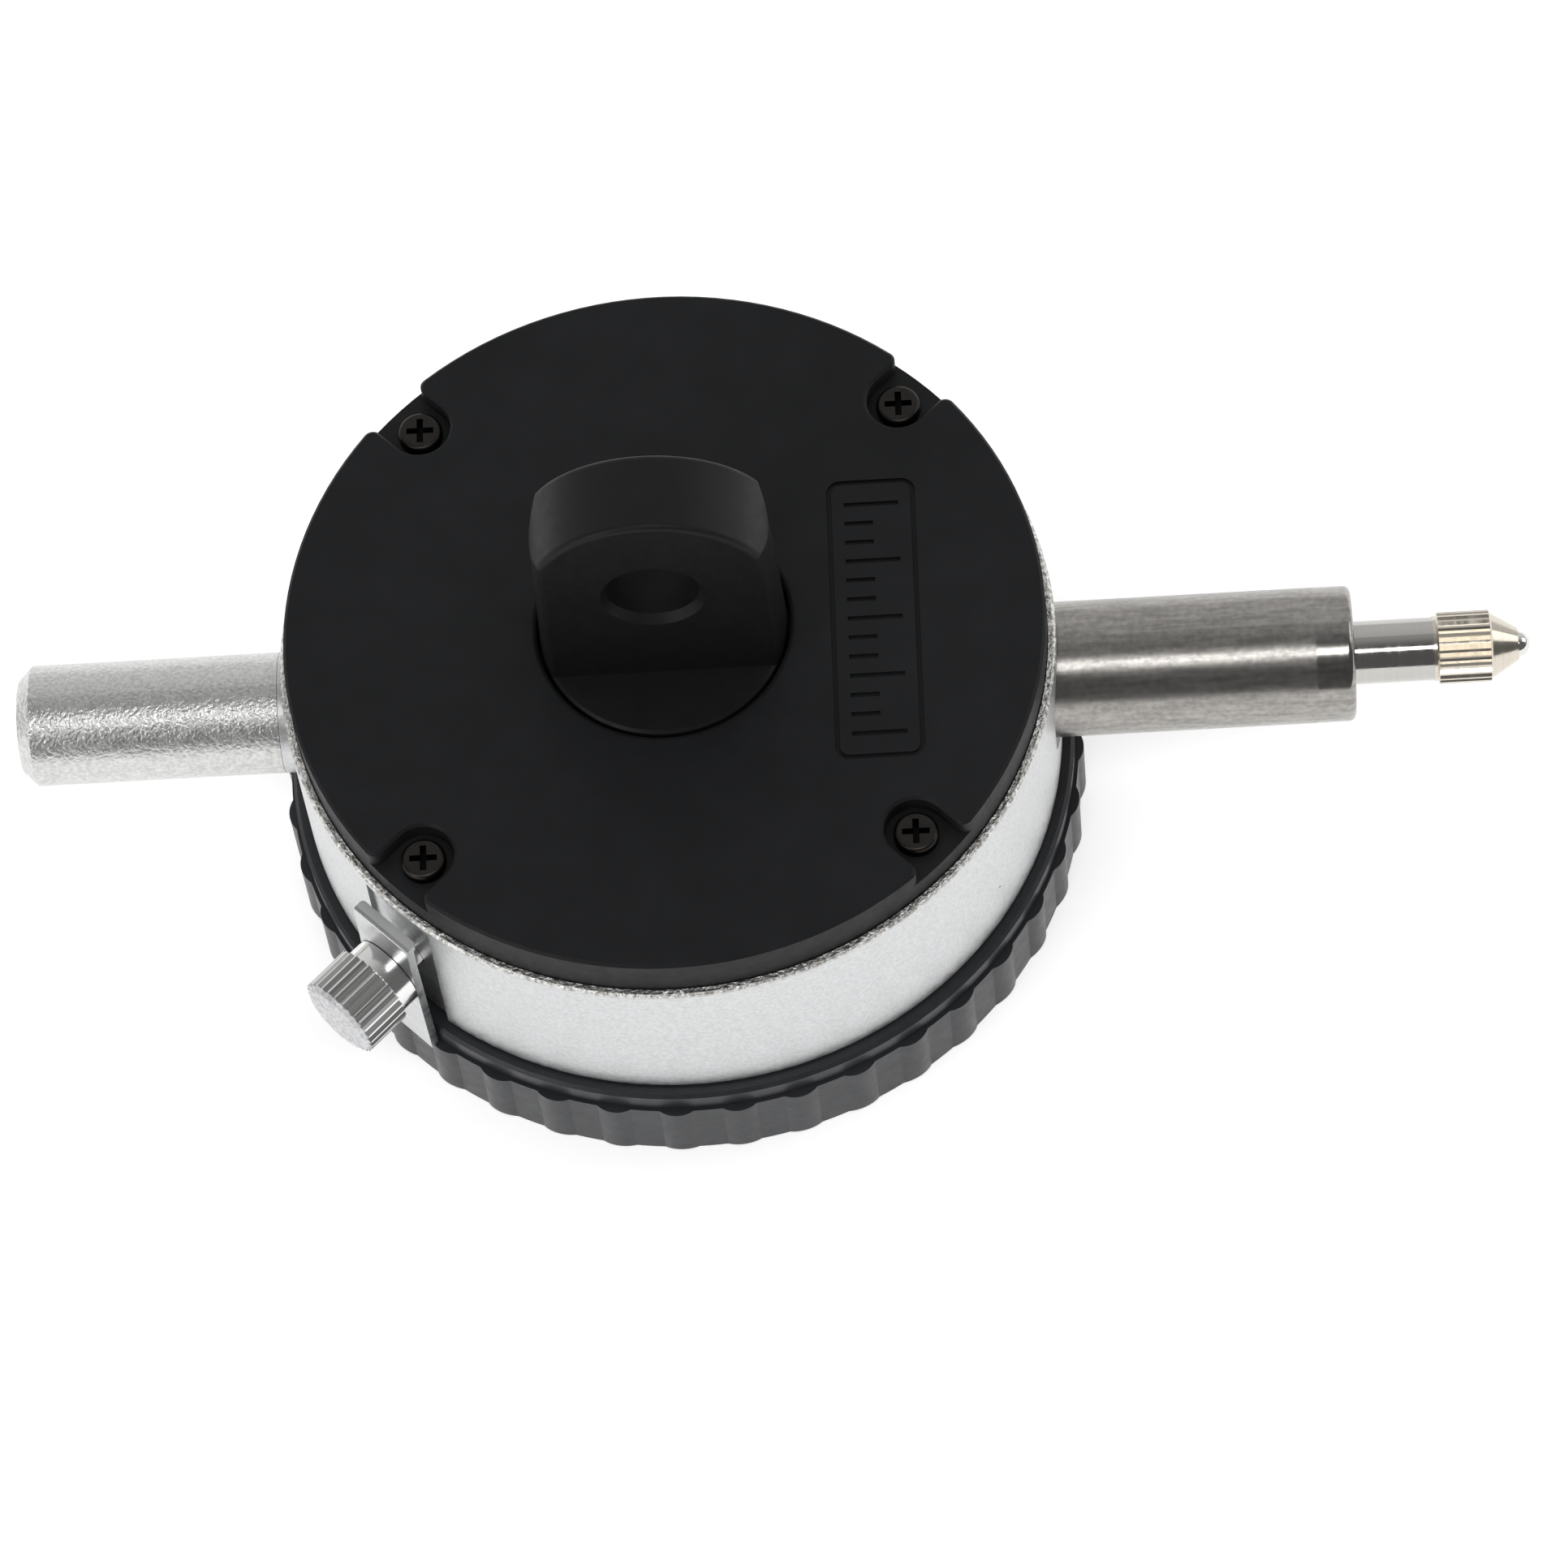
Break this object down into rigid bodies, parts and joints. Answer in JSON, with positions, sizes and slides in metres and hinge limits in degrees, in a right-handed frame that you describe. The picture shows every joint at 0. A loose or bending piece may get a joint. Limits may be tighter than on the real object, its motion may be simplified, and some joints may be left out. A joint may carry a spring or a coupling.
{
  "type": "dial indicator",
  "caption": "Plunger dial indicator with a lug back, round stem, spring-loaded spindle, turning bezel with a thumbscrew clamp, geared pointer and counter hand.",
  "frame": {"origin": "centre of the dial axis in the plane of the bezel's front rim", "axes": "+X along the spindle towards its contact point, +Z along the dial axis from the dial towards the lug back, +Y completes the right-handed set"},
  "size_m": [0.1063, 0.0572, 0.044],
  "materials": {
    "case": "satin, bead blasted",
    "cover_black": "fine matte",
    "gasket": "matte",
    "screw_steel": "turned",
    "screw_black": "black oxide, worn bright at the edges",
    "ground_steel": "ground",
    "polished_steel": "polished",
    "matte_nickel": "sandblasted nickel",
    "bright_nickel": "bright nickel",
    "bronze": "turned",
    "plate_brass": "fine grained",
    "gear_brass": "cut and brushed",
    "spring_steel": "drawn wire",
    "dial_white": "matte paint, printed scale",
    "spacer_white": "satin",
    "hand_black": "satin",
    "bezel_black": "satin black",
    "crystal": "clear"
  },
  "bodies": {
    "body": {"case": "case", "back_cover": "cover_black", "cover_gasket": "gasket", "cover_screws": "screw_black", "lug": "cover_black", "lug_screws": "screw_steel", "stem": "ground_steel", "front_bush": "bronze", "rear_bush": "bronze", "dust_cap": "matte_nickel", "movement_plate": "plate_brass", "plate_screws": "screw_steel", "bridge_pillars": "plate_brass", "bridge_plate": "plate_brass", "bridge_screws": "screw_steel", "cock_pillars": "plate_brass", "cock_plate": "plate_brass", "cock_screws": "screw_steel", "arbor_bushes": "bronze", "guide_rail": "plate_brass", "guide_screws": "screw_steel", "spring_post": "polished_steel", "return_spring": "spring_steel", "hairspring": "spring_steel", "hairspring_stud": "plate_brass", "bezel_wire": "spring_steel", "dial_centre": "dial_white"},
    "spindle": {"spindle": "polished_steel", "stop_collar": "polished_steel", "guide_pin": "polished_steel", "contact_point": "bright_nickel", "contact_ball": "polished_steel"},
    "rack_gear": {"rack_pinion": "polished_steel", "transfer_gear": "gear_brass", "counter_hand": "hand_black"},
    "pointer": {"centre_pinion": "polished_steel", "pointer": "hand_black"},
    "take_up": {"takeup_arbor": "polished_steel", "takeup_gear": "gear_brass"},
    "bezel": {"bezel": "bezel_black", "crystal_gasket": "gasket", "crystal": "crystal", "dial_spacer": "spacer_white", "dial_ring": "dial_white", "dial_keeper": "matte_nickel"},
    "clamp_bracket": {"clamp_bracket": "bright_nickel"},
    "clamp_screw": {"clamp_screw": "bright_nickel"}
  },
  "joints": [
    {"name": "spindle_slide", "type": "slide", "parent": "body", "child": "spindle", "axis": [-1, 0, 0], "range_m": [0, 0.00508], "stiffness_N_per_m": 100, "springref_m": -0.01, "deforming": ["return_spring"]},
    {"name": "transfer_spin", "type": "hinge", "parent": "body", "child": "rack_gear", "pos_m": [-0.00881, 0.0032, 0.0099], "axis": [0, 0, 1], "range_deg": [-182, 2]},
    {"name": "pointer_spin", "type": "hinge", "parent": "body", "child": "pointer", "pos_m": [0, 0, 0.0099], "axis": [0, 0, 1], "range_deg": [-4, 724]},
    {"name": "takeup_spin", "type": "hinge", "parent": "body", "child": "take_up", "pos_m": [0.00881, 0.0032, 0.0099], "axis": [0, 0, 1], "range_deg": [-182, 2], "deforming": ["hairspring"]},
    {"name": "bezel_turn", "type": "hinge", "parent": "body", "child": "bezel", "pos_m": [0, 0, 0.004], "axis": [0, 0, 1], "continuous": true},
    {"name": "clamp_slide", "type": "slide", "parent": "body", "child": "clamp_bracket", "axis": [-0.7071, -0.7071, 0], "range_m": [-0.00011, 0.0005]},
    {"name": "clamp_screw_turn", "type": "hinge", "parent": "clamp_bracket", "child": "clamp_screw", "pos_m": [-0.0198, -0.0198, 0.0148], "axis": [-0.7071, -0.7071, 0], "range_deg": [-80, 361]}
  ],
  "couplings": [
    {"joint": "transfer_spin", "follows": "spindle_slide", "rad_per_m": -618.42},
    {"joint": "pointer_spin", "follows": "spindle_slide", "rad_per_m": 2473.7},
    {"joint": "takeup_spin", "follows": "spindle_slide", "rad_per_m": -618.42},
    {"joint": "clamp_screw_turn", "follows": "clamp_slide", "rad_per_m": 12566}
  ]
}
